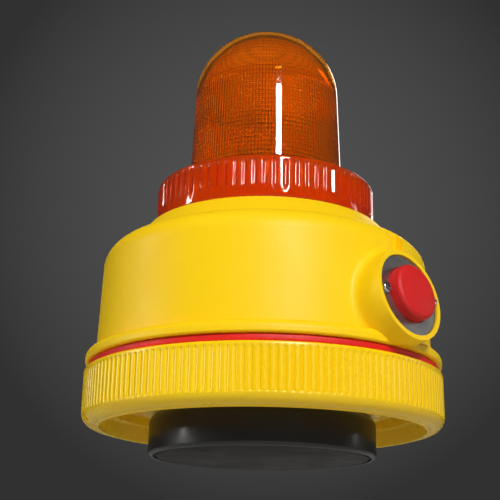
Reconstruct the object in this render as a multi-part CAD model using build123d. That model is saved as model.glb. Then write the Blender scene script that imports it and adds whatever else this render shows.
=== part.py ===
from build123d import *
import math
import os

# Battery warning light with a magnetic foot. Millimetres, +Z up.
# Origin: centre of the magnet's resting face. The push button points along +X.
# The two cells stand side by side along Y.

# ---------------------------------------------------------------- driving dimensions
# Magnetic foot
MAGNET_R = 41.0
MAGNET_H = 15.0
MAGNET_DISC_R = 38.2
MAGNET_CUP_WALL = 1.8
MAGNET_CUP_ROOF = 4.0

# Base cap
CAP_R = 65.3
CAP_BOTTOM_Z = 9.3
CAP_TOP_Z = 28.9
CAP_WEB = 3.0
CAP_LIP_R = 58.8
SPIGOT_R = 56.2
SPIGOT_WALL = 2.8
SPIGOT_TOP_Z = 38.0
CAP_SEAT_R = 43.0
CAP_STEP_R = 56.0
CAP_STEP_Z = 15.5
CAP_CEILING_Z = 20.0
CAP_SHELF_R = 45.5
CAP_GROOVE_R = (59.2, 62.0)
CAP_GROOVE_Z = 17.0
NOTCH_ANGLE = -117.0
NOTCH_R = 1.9

# Joint between cap and housing
GASKET_H = 2.8
FLANGE_Z = CAP_TOP_Z + GASKET_H
GASKET_INNER_R = 58.0
GASKET_OUTER_R = 63.6
FACE_GAP = 0.05
CAP_THREAD_PITCH = 5.0
CAP_THREAD_DEPTH = 1.45
CAP_THREAD_Z = 32.6

# Housing
FLANGE_R = 65.1
WALL_FOOT_R = 61.4
WALL_FOOT_Z = 37.5
WALL_TOP_R = 60.5
WALL = 3.0
SHOULDER_Z = 67.6
SHOULDER_ROUND = 8.6
SEAT_R = 44.8
SEAT_Z = 84.2
NECK_R = 37.2
NECK_WALL = 1.6
NECK_TOP_Z = 98.3
POCKET_FLOOR_X = 56.6
POCKET_Y = (0.5, 8.5)

# Lens
COLLAR_R = 41.7
COLLAR_BOTTOM_Z = 85.6
COLLAR_TOP_Z = 101.0
DECK_TOP_Z = 103.0
COLLAR_BORE_R = 39.2
DOME_FOOT_R = 29.7
DOME_TOP_R = 28.5
DOME_SPRING_Z = 143.0
DOME_APEX_Z = 169.5
LENS_WALL = 2.2
LENS_THREAD_PITCH = 4.0
LENS_THREAD_DEPTH = 1.25
LENS_THREAD_Z = 87.5

# Switch boss: its face looks outwards and a little upwards
BOSS_X = 68.0
BOSS_Z = 48.4
BOSS_TILT = 10.0
BOSS_R = 15.8
BOSS_RIM = 1.6
BOSS_BLEND = 2.6
PLATE_T = 0.8
PLATE_HOLE_R = 9.85
BUTTON_R = 9.6
BUTTON_STANDOUT = 4.5
PLATE_SCREW_OFFSET = 11.95
SWITCH_CAN_R = 7.2

# Cells: size D
CELL_R = 16.6
CELL_H = 61.5
CELL_OFFSET = 17.0
CELL_BOTTOM_Z = 23.4
SLEEVE_WALL = 1.2

# Cradle and lamp plate inside the neck
CRADLE_TOP_Z = 92.0
CRADLE_ROOF = 2.5
CRADLE_R = 35.3
CRADLE_EAR_X = 39.6
BOARD_POST_Z = (42.0, 70.0)
LAMP_POST_R = 24.0
LAMP_POST_ANGLES = (0, 120, 240)
LAMP_PLATE_TOP_Z = 99.8
LAMP_PLATE_T = 1.5
LAMP_PLATE_R = 31.0

# Circuit board on the side away from the switch
BOARD_X = -24.0
BOARD_T = 1.6
BOARD_HALF_Y = 26.0
BOARD_Z = (34.0, 76.5)
FACE_X = BOARD_X - BOARD_T - 0.02

# Contact carrier in the cap
CARRIER_R = 42.5
CARRIER_SCREW_R = 38.4
CARRIER_SCREW_ANGLES = (30, 150, 270)
CARRIER_TOP_Z = 22.3
CONTACT_RING_TOP_Z = 23.1

# Flash tube
TUBE_LEG_Y = 6.0
TUBE_R = 2.2
TUBE_TOP_Z = 138.0
BAND_Z = (118.0, 119.2)

LEAD_R = 0.6

SCREW_CLEARANCE = 0.06

boss_plane = Plane(
    origin=(BOSS_X, 0, BOSS_Z),
    x_dir=(0, 1, 0),
    z_dir=(math.cos(math.radians(BOSS_TILT)), 0, math.sin(math.radians(BOSS_TILT))),
)


# ---------------------------------------------------------------- shared shapes
def turned(outline, rounds=()):
    """Revolve an (r, z) outline about Z after rounding the listed corners."""
    return turned_face(make_face(Polyline(*outline, close=True)), rounds)


def turned_face(face, rounds):
    """Revolve an (r, z) face about Z after rounding the listed corners."""
    for corner, radius in rounds:
        vertex = face.vertices().sort_by_distance(Vector(*corner))[0]
        face = fillet(vertex, radius)
    return revolve(Plane.XZ * face, Axis.Z)


def ring(outer, inner, bottom, top):
    """Plain ring about Z."""
    return turned([(inner, bottom), (outer, bottom), (outer, top), (inner, top)])


def disc(radius, bottom, top):
    """Plain disc about Z."""
    return Pos(0, 0, bottom) * Cylinder(radius, top - bottom, align=(Align.CENTER, Align.CENTER, Align.MIN))


def block(x, y, z):
    """Box from (low, high) pairs."""
    size = [high - low for low, high in (x, y, z)]
    middle = [(high + low) / 2 for low, high in (x, y, z)]
    return Pos(*middle) * Box(*size)


def thread_ridge(root, crest, start_z, turns, pitch):
    """Coarse moulded thread: one trapezoid ridge wound up the helix."""
    sunk = root - 0.3 if crest > root else root + 0.3
    foot, tip = 0.20 * pitch, 0.11 * pitch
    outline = Polyline((sunk, -foot), (crest, -tip), (crest, tip), (sunk, foot), close=True)
    section = Plane.XZ * make_face(outline)
    path = Helix(pitch=pitch, height=turns * pitch, radius=root)
    ridge = sweep(section, path=path, is_frenet=True)
    return Pos(0, 0, start_z) * ridge


def pan_screw(head_r, head_h, shank_r, length):
    """Cross-recess pan head screw, head up, seat at z = 0."""
    head = turned([(0, 0), (head_r, 0), (head_r, head_h), (0, head_h)], [((head_r, head_h), head_h * 0.6)])
    recess_depth = head_h * 0.55
    for angle in (0, 90):
        slot = Box(head_r * 1.1, head_r * 0.28, recess_depth)
        head -= Pos(0, 0, head_h - recess_depth / 2) * Rot(0, 0, angle) * slot
    shank = Pos(0, 0, -length) * Cylinder(shank_r, length, align=(Align.CENTER, Align.CENTER, Align.MIN))
    return head + shank


def bent_wire(points, wire_r):
    """Insulated lead: straight runs joined by the largest arcs the runs allow."""
    stops = [Vector(*p) for p in points]
    radii = []
    for before, here, after in zip(stops, stops[1:], stops[2:]):
        turn = math.radians((here - before).get_angle(after - here))
        shorter = min((here - before).length, (after - here).length)
        radii.append(0.45 * shorter / math.tan(turn / 2))
    path = FilletPolyline(*points, radius=radii)
    start = Plane(origin=path @ 0, z_dir=path % 0)
    lead = sweep(start * Circle(wire_r), path=path)
    expected = math.pi * wire_r ** 2 * path.length
    print("lead radii", [round(r, 1) for r in radii], "volume ratio", round(lead.volume / expected, 3))
    return lead


# ---------------------------------------------------------------- magnetic foot
def magnet_cup():
    bore_r = MAGNET_R - MAGNET_CUP_WALL
    roof_z = MAGNET_H - MAGNET_CUP_ROOF
    cup = turned(
        [(bore_r, 0), (MAGNET_R, 0), (MAGNET_R, MAGNET_H), (0, MAGNET_H), (0, roof_z), (bore_r, roof_z)],
        [((MAGNET_R, 0), 1.4), ((MAGNET_R, MAGNET_H), 4.0)],
    )
    return cup - disc(3.0 + SCREW_CLEARANCE, roof_z - 1, MAGNET_H + 1)


def magnet_disc():
    solid = disc(MAGNET_DISC_R, 0, MAGNET_H - MAGNET_CUP_ROOF - 0.2)
    return chamfer(solid.edges().sort_by(Axis.Z)[0], 0.3)


def magnet_potting():
    return ring(MAGNET_R - MAGNET_CUP_WALL - 0.05, MAGNET_DISC_R + 0.05, 0.8, MAGNET_H - MAGNET_CUP_ROOF - 0.2)


def magnet_screw():
    screw = pan_screw(6.0, 3.1, 3.0, 7.9)
    return Pos(0, 0, 19.2) * screw


def magnet_washer():
    return ring(9.0, 3.2, MAGNET_H + CAP_WEB, MAGNET_H + CAP_WEB + 1.15)


# ---------------------------------------------------------------- base cap
def base_cap():
    spigot_bore = SPIGOT_R - SPIGOT_WALL
    web_top = MAGNET_H + CAP_WEB
    ledge_z = CAP_CEILING_Z + CAP_WEB
    outline = [
        (0, MAGNET_H),
        (CAP_SEAT_R, MAGNET_H),
        (CAP_SEAT_R, CAP_CEILING_Z),
        (CAP_STEP_R, CAP_CEILING_Z),
        (CAP_STEP_R, CAP_STEP_Z),
        (CAP_LIP_R, CAP_STEP_Z),
        (CAP_LIP_R, CAP_BOTTOM_Z),
        (CAP_R, CAP_BOTTOM_Z),
        (CAP_R, CAP_TOP_Z),
        (SPIGOT_R, CAP_TOP_Z),
        (SPIGOT_R, SPIGOT_TOP_Z),
        (spigot_bore, SPIGOT_TOP_Z),
        (spigot_bore, ledge_z),
        (CAP_SHELF_R, ledge_z),
        (CAP_SHELF_R, web_top),
        (0, web_top),
    ]
    rounds = [
        ((CAP_R, CAP_BOTTOM_Z), 5.5),
        ((CAP_LIP_R, CAP_BOTTOM_Z), 0.5),
        ((CAP_R, CAP_TOP_Z), 0.6),
        ((CAP_STEP_R, CAP_CEILING_Z), 1.5),
        ((spigot_bore, ledge_z), 2.0),
    ]
    cap = turned(outline, rounds)
    cap -= ring(CAP_GROOVE_R[1], CAP_GROOVE_R[0], CAP_GROOVE_Z, CAP_TOP_Z + 1)
    cap += thread_ridge(SPIGOT_R, SPIGOT_R + CAP_THREAD_DEPTH, CAP_THREAD_Z, 0.85, CAP_THREAD_PITCH)
    cap -= disc(3.2, MAGNET_H - 1, web_top + 1)
    cap -= moulded_notch()
    for angle in CARRIER_SCREW_ANGLES:
        cap -= Rot(0, 0, angle) * Pos(CARRIER_SCREW_R, 0, 0) * disc(1.3 + SCREW_CLEARANCE, MAGNET_H + 0.5, web_top + 1)
    return cap


def moulded_notch():
    """Half-round vent notch in the rounded lower corner of the cap."""
    notch = Pos(CAP_R - 1.6, 0, CAP_BOTTOM_Z - 1) * Cylinder(NOTCH_R, 5.6, align=(Align.CENTER, Align.CENTER, Align.MIN))
    return Rot(0, 0, NOTCH_ANGLE) * notch


def contact_carrier():
    carrier = ring(CARRIER_R, 10.0, MAGNET_H + CAP_WEB + 0.05, CARRIER_TOP_Z)
    for angle in CARRIER_SCREW_ANGLES:
        carrier -= Rot(0, 0, angle) * Pos(CARRIER_SCREW_R, 0, 0) * disc(1.5, 15, 25)
    for angle in CARRIER_SCREW_ANGLES:
        carrier -= Rot(0, 0, angle + 60) * block((30.2, 31.6), (-2.7, 2.7), (15, 25))
    return carrier


def contact_ring():
    """Plated steel ring with three locating tabs pushed down through the carrier."""
    plate = ring(31.4, 11.5, CARRIER_TOP_Z + 0.02, CONTACT_RING_TOP_Z)
    for angle in CARRIER_SCREW_ANGLES:
        plate += Rot(0, 0, angle + 60) * block((30.4, 31.2), (-2.5, 2.5), (18.6, CONTACT_RING_TOP_Z - 0.2))
    return plate


def carrier_screws():
    screw = pan_screw(2.5, 1.8, 1.3, 6.4)
    places = [Rot(0, 0, a) * Pos(CARRIER_SCREW_R, 0, CARRIER_TOP_Z + 0.02) for a in CARRIER_SCREW_ANGLES]
    return Compound(children=[place * screw for place in places])


def base_gasket():
    bottom = CAP_TOP_Z + FACE_GAP
    top = CAP_TOP_Z + GASKET_H - FACE_GAP
    outline = [(GASKET_INNER_R, bottom), (GASKET_OUTER_R, bottom), (GASKET_OUTER_R, top), (GASKET_INNER_R, top)]
    return turned(outline, [((GASKET_OUTER_R, bottom), 0.6), ((GASKET_OUTER_R, top), 0.6)])


# ---------------------------------------------------------------- housing
def housing_outside():
    """Solid of the housing's outer surface, run on below the flange, with the boss blended in."""
    arc_r = WALL_TOP_R - SHOULDER_ROUND
    crease_z = SHOULDER_Z + SHOULDER_ROUND
    skirt_z = FLANGE_Z - 12
    outline = [
        (0, skirt_z),
        (WALL_FOOT_R, skirt_z),
        (WALL_FOOT_R, WALL_FOOT_Z),
        (WALL_TOP_R, SHOULDER_Z),
        (WALL_TOP_R, crease_z),
        (arc_r, crease_z),
        (SEAT_R, SEAT_Z),
        (0, SEAT_Z),
    ]
    rounds = [((WALL_TOP_R, crease_z), SHOULDER_ROUND - 0.2), ((SEAT_R, SEAT_Z), 0.8)]
    skin = turned(outline, rounds)
    boss = Cone(BOSS_R + 1.2, BOSS_R, 13.0, align=(Align.CENTER, Align.CENTER, Align.MAX))
    joined = skin + boss_plane * Pos(0, 0, 0.6) * boss
    seam = [edge for edge in joined.edges() if on_boss_seam(edge)]
    blended = fillet(seam, BOSS_BLEND)
    return blended - disc(90, skirt_z - 1, FLANGE_Z)


def on_boss_seam(edge):
    """True for the edges where the boss's side meets the outer wall."""
    middle = boss_plane.to_local_coords(edge @ 0.5)
    across = math.hypot(middle.X, middle.Y)
    return -16 < middle.Z < -1 and BOSS_R - 0.5 < across < BOSS_R + 1.5 and edge.length > 3 and not is_generatrix(edge)


def is_generatrix(edge):
    """True for a straight edge along the boss's own side."""
    return edge.geom_type == GeomType.LINE


def housing_inside():
    """Solid of the space inside the housing, from the cap's thread up through the neck."""
    bore_r = SPIGOT_R + CAP_THREAD_DEPTH + 0.55
    arc_r = WALL_TOP_R - SHOULDER_ROUND
    roof_z = SHOULDER_Z + SHOULDER_ROUND - WALL
    wall_r = WALL_TOP_R - WALL
    outline = [
        (0, FLANGE_Z - 1),
        (bore_r, FLANGE_Z - 1),
        (bore_r, 45.5),
        (wall_r, 47.0),
        (wall_r, roof_z),
        (arc_r - 0.4, roof_z),
        (SEAT_R - 1.6, SEAT_Z - WALL),
        (NECK_R - NECK_WALL, SEAT_Z - WALL),
        (NECK_R - NECK_WALL, NECK_TOP_Z + 1),
        (0, NECK_TOP_Z + 1),
    ]
    return turned(outline, [((wall_r, roof_z), SHOULDER_ROUND - WALL)])


def housing_flange():
    """Rounded bottom flange that bears on the gasket."""
    top = FLANGE_Z + 3.6
    outline = [(58.5, FLANGE_Z), (FLANGE_R, FLANGE_Z), (FLANGE_R, top), (WALL_FOOT_R, top + 1.2), (58.5, top + 1.2)]
    return turned(outline, [((FLANGE_R, FLANGE_Z), 0.8), ((FLANGE_R, top), 2.6)])


def housing_neck():
    """Threaded neck that carries the lens."""
    bore_r = NECK_R - NECK_WALL
    outline = [(bore_r, SEAT_Z - 1), (NECK_R, SEAT_Z - 1), (NECK_R, NECK_TOP_Z), (bore_r, NECK_TOP_Z)]
    neck = turned(outline, [((NECK_R, NECK_TOP_Z), 0.5)])
    return neck + thread_ridge(NECK_R, NECK_R + LENS_THREAD_DEPTH, LENS_THREAD_Z, 1.8, LENS_THREAD_PITCH)


def boss_cuts():
    """Plate recess, button bore, bushing hole, switch clearance and screw holes."""
    recess = Pos(0, 0, -PLATE_T) * Cylinder(BOSS_R - BOSS_RIM, 5, align=(Align.CENTER, Align.CENTER, Align.MIN))
    bore = Pos(0, 0, -6.5) * Cylinder(10.45, 8, align=(Align.CENTER, Align.CENTER, Align.MIN))
    bushing = Pos(0, 0, -10) * Cylinder(5.1, 8, align=(Align.CENTER, Align.CENTER, Align.MIN))
    back = Pos(0, 0, -26) * Cylinder(SWITCH_CAN_R + 0.5, 17, align=(Align.CENTER, Align.CENTER, Align.MIN))
    cuts = recess + bore + bushing + back
    for side in (-1, 1):
        hole = Cylinder(1.0 + SCREW_CLEARANCE, 7, align=(Align.CENTER, Align.CENTER, Align.MIN))
        cuts += Pos(side * PLATE_SCREW_OFFSET, 0, -7.4) * hole
    return boss_plane * cuts


def housing():
    outside = housing_outside()
    body = outside + housing_flange() - housing_inside()
    body += shoulder_pad() & outside
    body -= boss_cuts() + shoulder_pocket()
    for side in (-1, 1):
        body -= Pos(side * CRADLE_EAR_X, 0, 0) * disc(1.5 + SCREW_CLEARANCE, 79, SEAT_Z - 0.8)
    bore_r = SPIGOT_R + CAP_THREAD_DEPTH + 0.55
    half_pitch = CAP_THREAD_PITCH / 2
    cap_thread = thread_ridge(bore_r, SPIGOT_R + 0.45, CAP_THREAD_Z + half_pitch, 0.85, CAP_THREAD_PITCH)
    return body + housing_neck() + cap_thread


def shoulder_pocket():
    """Small open-topped pocket in the shoulder, just above the boss."""
    return block((POCKET_FLOOR_X, 63.0), POCKET_Y, (62.6, 78.0))


def shoulder_pad():
    """Thickening inside the wall that backs the shoulder pocket."""
    return block((POCKET_FLOOR_X - 2.4, 60.0), (POCKET_Y[0] - 2.4, POCKET_Y[1] + 2.4), (60.2, 73.5))


# ---------------------------------------------------------------- switch
def switch_plate():
    plate = Cylinder(BOSS_R - BOSS_RIM - 0.15, PLATE_T - 0.05, align=(Align.CENTER, Align.CENTER, Align.MAX))
    plate -= Cylinder(PLATE_HOLE_R, 5)
    for side in (-1, 1):
        plate -= Pos(side * PLATE_SCREW_OFFSET, 0, 0) * Cylinder(1.15, 5)
    return boss_plane * plate


def switch_plate_screws():
    screw = pan_screw(2.05, 1.5, 1.0, 6.5)
    return Compound(children=[boss_plane * Pos(s * PLATE_SCREW_OFFSET, 0, 0.01) * screw for s in (-1, 1)])


def push_button():
    """Skirted cap with a retaining flange behind the plate."""
    flange_z = -PLATE_T - 0.1
    outline = [
        (0, 2.0),
        (7.8, 2.0),
        (7.8, flange_z - 1.2),
        (10.25, flange_z - 1.2),
        (10.25, flange_z),
        (BUTTON_R, flange_z),
        (BUTTON_R, BUTTON_STANDOUT),
        (0, BUTTON_STANDOUT),
    ]
    cap = turned(outline, [((BUTTON_R, BUTTON_STANDOUT), 1.5)])
    return boss_plane * cap


def switch_plunger():
    return boss_plane * turned([(0, -9.0), (2.0, -9.0), (2.0, 1.95), (0, 1.95)], [((2.0, -9.0), 0.4)])


def switch_body():
    """Panel switch: threaded bushing, shoulder and round can, bored for the plunger."""
    outline = [
        (2.06, -3.4),
        (5.0, -3.4),
        (5.0, -9.05),
        (SWITCH_CAN_R, -9.05),
        (SWITCH_CAN_R, -24.0),
        (0, -24.0),
        (0, -13.0),
        (2.06, -13.0),
    ]
    return boss_plane * turned(outline, [((5.0, -3.4), 0.4), ((SWITCH_CAN_R, -24.0), 0.6)])


def switch_nut():
    nut = extrude(RegularPolygon(7.0, 6), 1.9) - Cylinder(5.08, 5)
    return boss_plane * Pos(0, 0, -6.45) * nut


def switch_terminals():
    lug = block((-0.4, 0.4), (-1.6, 1.6), (-29.5, -24.05)) - Pos(0, 0, -27.8) * Rot(0, 90, 0) * Cylinder(0.8, 3)
    return Compound(children=[boss_plane * Pos(x, 0, 0) * lug for x in (-4.0, 4.0)])


# ---------------------------------------------------------------- cells and cradle
def battery_cell():
    """Size D cell with its raised positive button at the top end."""
    body_h = CELL_H - 1.5
    can = turned([(0, 0), (CELL_R, 0), (CELL_R, body_h), (0, body_h)], [((CELL_R, 0), 1.0), ((CELL_R, body_h), 1.0)])
    nub = Pos(0, 0, body_h) * Cylinder(4.7, 1.5, align=(Align.CENTER, Align.CENTER, Align.MIN))
    return can + nub


def cell_nub_up():
    return Pos(0, CELL_OFFSET, CELL_BOTTOM_Z) * battery_cell()


def cell_nub_down():
    return Pos(0, -CELL_OFFSET, CELL_BOTTOM_Z + CELL_H) * Rot(180, 0, 0) * battery_cell()


def battery_cradle():
    """Twin sleeves under a round roof, with ears for the deck and posts for the board."""
    sleeve_r = CELL_R + 0.2 + SLEEVE_WALL
    sides = [Pos(0, y, 0) for y in (-CELL_OFFSET, CELL_OFFSET)]
    roof_bottom = CRADLE_TOP_Z - CRADLE_ROOF
    cradle = disc(CRADLE_R, roof_bottom, CRADLE_TOP_Z)
    for side in sides:
        cradle += side * disc(sleeve_r, 31.0, roof_bottom + 0.5)
    for x_side in (-1, 1):
        x = sorted((x_side * 8, x_side * (CRADLE_EAR_X + 2.8)))
        cradle += block(x, (-5, 5), (77.2, SEAT_Z - WALL - 0.05))
    for y in (-CELL_OFFSET, CELL_OFFSET):
        for z in BOARD_POST_Z:
            cradle += block((BOARD_X + 0.02, -15), (y - 3.5, y + 3.5), (z - 3.5, z + 3.5))
    for angle in LAMP_POST_ANGLES:
        cradle += Rot(0, 0, angle) * Pos(LAMP_POST_R, 0, 0) * disc(3.2, 91.0, LAMP_PLATE_TOP_Z - LAMP_PLATE_T - 0.02)
    for side in sides:
        cradle -= side * disc(CELL_R + 0.2, 20, roof_bottom)
    cradle -= block((-30, -20), (-12, 12), (80.5, 95))
    cradle -= block((-20, 20), (-5.5, 5.5), (30, 77.0))
    cradle -= block((-6, 6), (-2, 2), (77.0, roof_bottom))
    for x_side in (-1, 1):
        cradle -= Pos(x_side * CRADLE_EAR_X, 0, 0) * disc(1.6, 70, 90)
    for y in (-CELL_OFFSET, CELL_OFFSET):
        for z in BOARD_POST_Z:
            pilot = Cylinder(1.1 + SCREW_CLEARANCE, 6.5, align=(Align.CENTER, Align.CENTER, Align.MIN))
            cradle -= Pos(BOARD_X - 0.2, y, z) * Rot(0, 90, 0) * pilot
    for angle in LAMP_POST_ANGLES:
        cradle -= Rot(0, 0, angle) * Pos(LAMP_POST_R, 0, 0) * disc(1.1 + SCREW_CLEARANCE, 93.0, 100)
    for y in (-CELL_OFFSET, CELL_OFFSET):
        cradle -= Pos(0, y, 0) * disc(2.0, 85, 95)
    return cradle


def cradle_screws():
    screw = Rot(180, 0, 0) * pan_screw(2.9, 2.0, 1.5, 5.2)
    return Compound(children=[Pos(s * CRADLE_EAR_X, 0, 77.18) * screw for s in (-1, 1)])


def top_contacts():
    """Two plated steel contact plates under the cradle's roof, each riveted through it."""
    top = CRADLE_TOP_Z - CRADLE_ROOF - 0.02
    plates = []
    for y in (-CELL_OFFSET, CELL_OFFSET):
        plate = block((-8, 8), (y - 8, y + 8), (top - 0.5, top))
        rivet = Pos(0, y, 0) * (disc(1.9, top - 0.2, CRADLE_TOP_Z + 0.05) + disc(3.2, CRADLE_TOP_Z + 0.02, CRADLE_TOP_Z + 0.9))
        plates.append(plate + rivet)
    return Compound(children=plates)


def cell_springs():
    """Conical contact springs standing between the cells' tops and the plates."""
    bottom = CELL_BOTTOM_Z + CELL_H + 0.4
    top = CRADLE_TOP_Z - CRADLE_ROOF - 0.55
    wire_r = 0.35
    height = top - bottom - 2 * wire_r
    springs = []
    for y in (-CELL_OFFSET, CELL_OFFSET):
        path = Helix(pitch=height / 2.5, height=height, radius=4.0, cone_angle=25)
        start = Plane(origin=path @ 0, z_dir=path % 0)
        coil = sweep(start * Circle(wire_r), path=path, is_frenet=True)
        springs.append(Pos(0, y, top - wire_r) * Rot(180, 0, 0) * coil)
    return Compound(children=springs)


# ---------------------------------------------------------------- circuit board
def circuit_board():
    y = (-BOARD_HALF_Y, BOARD_HALF_Y)
    board = block((BOARD_X - BOARD_T, BOARD_X), y, BOARD_Z)
    for y_hole in (-CELL_OFFSET, CELL_OFFSET):
        for z in BOARD_POST_Z:
            board -= Pos(BOARD_X, y_hole, z) * Rot(0, 90, 0) * Cylinder(1.3, 6)
    return board


def board_screws():
    screw = Rot(0, -90, 0) * pan_screw(2.2, 1.6, 1.1, 6.0)
    x = BOARD_X - BOARD_T - 0.01
    return Compound(children=[Pos(x, y, z) * screw for y in (-CELL_OFFSET, CELL_OFFSET) for z in BOARD_POST_Z])


def main_capacitor():
    """Photoflash electrolytic lying up the middle of the board."""
    can = turned([(0, 0), (8.0, 0), (8.0, 33.0), (0, 33.0)], [((8.0, 0), 0.8), ((8.0, 33.0), 0.8)])
    can -= turned([(7.6, 29.5), (9, 29.0), (9, 30.6), (7.6, 30.1)])
    return Pos(FACE_X - 8.05, 0, 38.0) * can


def inverter_transformer():
    """Ferrite E-core transformer with its winding."""
    core = block((FACE_X - 13, FACE_X - 1.0), (11.5, 24.5), (49.5, 62.5))
    winding = Pos(FACE_X - 7, 18.0, 56.0) * Box(14.0, 9.0, 9.0)
    feet = block((FACE_X - 1.0, FACE_X), (13, 23), (51, 61))
    return core + winding + feet


def trigger_transformer():
    coil = turned([(0, 0), (4.2, 0), (4.2, 1.2), (3.4, 1.2), (3.4, 9.4), (4.2, 9.4), (4.2, 10.6), (0, 10.6)])
    return Pos(FACE_X, -17.0, 56.0) * Rot(0, -90, 0) * coil


def power_transistor():
    """Moulded power transistor with a metal tab, standing on three legs."""
    case = block((FACE_X - 12.0, FACE_X - 3.5), (11.5, 21.5), (35.2, 39.4))
    tab = block((FACE_X - 17.5, FACE_X - 12.0), (11.5, 21.5), (35.2, 36.4))
    tab -= Pos(FACE_X - 15, 16.5, 36) * Cylinder(1.8, 4)
    transistor = case + tab
    for y in (13.9, 16.5, 19.1):
        transistor += block((FACE_X - 3.6, FACE_X), (y - 0.4, y + 0.4), (36.8, 37.4))
    return transistor


def resistors():
    """Axial resistors, bodies just off the board on bent legs."""
    parts = []
    for z in (47.0, 62.8, 65.6):
        body = Pos(FACE_X - 1.6, -17.0, z) * Rot(90, 0, 0) * Cylinder(1.15, 6.2)
        for side in (-1, 1):
            body += Pos(FACE_X - 1.6, -17.0 + side * 3.9, z) * Rot(90, 0, 0) * Cylinder(0.3, 1.8)
            body += block((FACE_X - 1.9, FACE_X), (-17.3 + side * 4.6, -16.7 + side * 4.6), (z - 0.3, z + 0.3))
        parts.append(body)
    return Compound(children=parts)


def film_capacitor():
    return fillet(block((FACE_X - 9.0, FACE_X), (11.0, 22.5), (64.8, 67.4)).edges(), 0.5)


# ---------------------------------------------------------------- lamp
def lamp_plate():
    """White disc on the cradle's posts that carries the lamp socket."""
    plate = disc(LAMP_PLATE_R, LAMP_PLATE_TOP_Z - LAMP_PLATE_T, LAMP_PLATE_TOP_Z)
    for angle in LAMP_POST_ANGLES:
        plate -= Rot(0, 0, angle) * Pos(LAMP_POST_R, 0, 0) * disc(1.3, 95, 105)
    plate -= disc(7.2, 95, 105)
    return plate


def lamp_plate_screws():
    screw = pan_screw(2.3, 1.7, 1.1, 6.0)
    places = [Rot(0, 0, a) * Pos(LAMP_POST_R, 0, LAMP_PLATE_TOP_Z + 0.01) for a in LAMP_POST_ANGLES]
    return Compound(children=[place * screw for place in places])


def tube_socket():
    """Ceramic lamp base: plug through the plate, flange and boss with two leg holes."""
    z = LAMP_PLATE_TOP_Z
    socket = turned(
        [(0, z - 4.5), (7.0, z - 4.5), (7.0, z + 0.02), (12.0, z + 0.02), (12.0, z + 2.6), (10.2, z + 6.2), (0, z + 6.2)],
        [((12.0, z + 2.6), 0.6), ((10.2, z + 6.2), 0.8)],
    )
    for side in (-1, 1):
        socket -= Pos(0, side * TUBE_LEG_Y, 0) * disc(TUBE_R + 0.05, z + 1.5, z + 8)
    return socket


def flash_tube():
    """U-shaped glass flash tube standing in the socket."""
    foot_z = LAMP_PLATE_TOP_Z + 1.55
    leg_h = TUBE_TOP_Z - TUBE_R - TUBE_LEG_Y - foot_z
    tube = Pos(0, 0, TUBE_TOP_Z - TUBE_R - TUBE_LEG_Y) * bend_half_ring(TUBE_LEG_Y, TUBE_R)
    for side in (-1, 1):
        leg = Cylinder(TUBE_R, leg_h, align=(Align.CENTER, Align.CENTER, Align.MIN))
        tube += Pos(0, side * TUBE_LEG_Y, foot_z) * leg
    return tube


def bend_half_ring(bend_r, tube_r):
    """Upper half of a torus standing in the YZ plane."""
    full = Rot(0, 90, 0) * Torus(bend_r, tube_r)
    return full & block((-10, 10), (-20, 20), (0, 20))


def trigger_band():
    """Plated trigger clip round both legs of the tube."""
    low, high = BAND_Z
    outer = TUBE_R + 0.75
    band = block((-1.0, 1.0), (-TUBE_LEG_Y, TUBE_LEG_Y), (low, high))
    for side in (-1, 1):
        band += Pos(0, side * TUBE_LEG_Y, 0) * disc(outer, low, high)
    for side in (-1, 1):
        band -= Pos(0, side * TUBE_LEG_Y, 0) * disc(TUBE_R + 0.05, low - 1, high + 1)
    return band + disc(0.35, LAMP_PLATE_TOP_Z + 6.25, low + 0.1)


# ---------------------------------------------------------------- leads
def switch_leads():
    """Two leads from the switch's lugs round one cell to the board's far face."""
    routes = [
        [
            (38.6, 4.0, 43.2), (28.0, 7.0, 42.6), (25.5, 24.0, 43.8), (14.0, 38.5, 46.0), (-6.0, 43.0, 48.6),
            (-24.0, 36.5, 48.0), (-31.5, 31.0, 47.0), (-32.5, 24.5, 46.0), (-26.0, 22.0, 45.4),
        ],
        [
            (38.6, -4.0, 43.2), (27.5, 0.5, 40.4), (24.0, 20.0, 39.8), (13.0, 38.0, 41.6), (-7.0, 42.0, 44.2),
            (-24.5, 35.0, 43.8), (-31.8, 29.5, 43.0), (-32.3, 23.4, 42.0), (-26.0, 21.6, 41.2),
        ],
    ]
    return Compound(children=[bent_wire(route, LEAD_R) for route in routes])


def battery_leads():
    """Two leads from the contact rivets over the cradle's roof and down to the board."""
    end_z = BOARD_Z[1] + 0.05
    routes = [
        [(-3.6, 16.3, 92.8), (-13.0, 13.0, 93.6), (-22.6, 10.4, 93.0), (-25.0, 10.2, 86.0), (-24.8, 10.2, end_z)],
        [
            (-3.6, -15.8, 92.8), (-10.0, -6.0, 93.3), (-16.0, 3.0, 93.3), (-22.8, 7.0, 93.0),
            (-25.0, 7.3, 86.0), (-24.8, 7.3, end_z),
        ],
    ]
    return Compound(children=[bent_wire(route, LEAD_R) for route in routes])


def tube_leads():
    """Three leads from the lamp socket's plug down through the roof's notch to the board."""
    end_z = BOARD_Z[1] + 0.05
    leads = []
    for step, angle in enumerate((190, 215, 240)):
        a = math.radians(angle)
        y = -6.9 - 1.9 * step
        route = [
            (7.7 * math.cos(a), 7.7 * math.sin(a), 96.4),
            (-15.5, -4.2 - 2.6 * step, 95.7),
            (-23.6, y, 93.2),
            (-25.3, y - 0.1, 85.0),
            (-24.8, y, end_z),
        ]
        leads.append(bent_wire(route, LEAD_R))
    return Compound(children=leads)


def lens_gasket():
    return ring(41.2, 39.1, SEAT_Z + FACE_GAP, COLLAR_BOTTOM_Z - FACE_GAP)


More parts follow.
